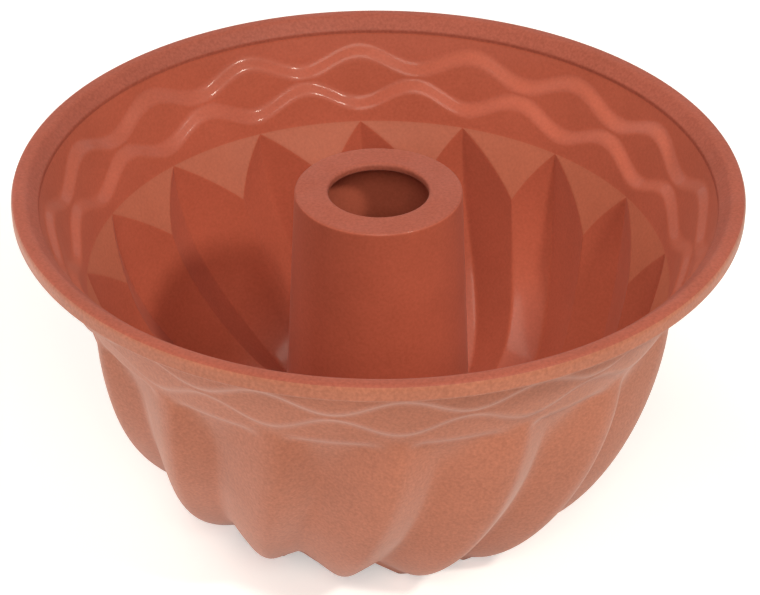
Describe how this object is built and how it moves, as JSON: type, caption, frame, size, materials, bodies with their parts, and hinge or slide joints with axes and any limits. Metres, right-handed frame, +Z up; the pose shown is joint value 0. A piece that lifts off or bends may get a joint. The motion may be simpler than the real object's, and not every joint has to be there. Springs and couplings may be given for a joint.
{
  "type": "kugelhopf baking mould",
  "caption": "Flexible ring-cake mould with swirled V-shaped flutes, a wavy-stepped upper band, a flat sloping rim and a hollow chimney in the middle.",
  "frame": {"origin": "centre of the underside, on the plane the lobes stand on", "axes": "+Z up along the chimney's axis to the open mouth; +X and +Y are level, with the start of a lobe on +X"},
  "size_m": [0.22, 0.22, 0.112],
  "materials": {
    "bowl_rubber": "satin terracotta silicone rubber",
    "rim_rubber": "matte terracotta silicone rubber"
  },
  "bodies": {
    "root": {"rim": "rim_rubber", "wave_band": "bowl_rubber", "shoulder": "bowl_rubber", "fluted_wall": "bowl_rubber", "trough": "bowl_rubber", "chimney": "bowl_rubber", "chimney_top": "rim_rubber"}
  },
  "joints": []
}
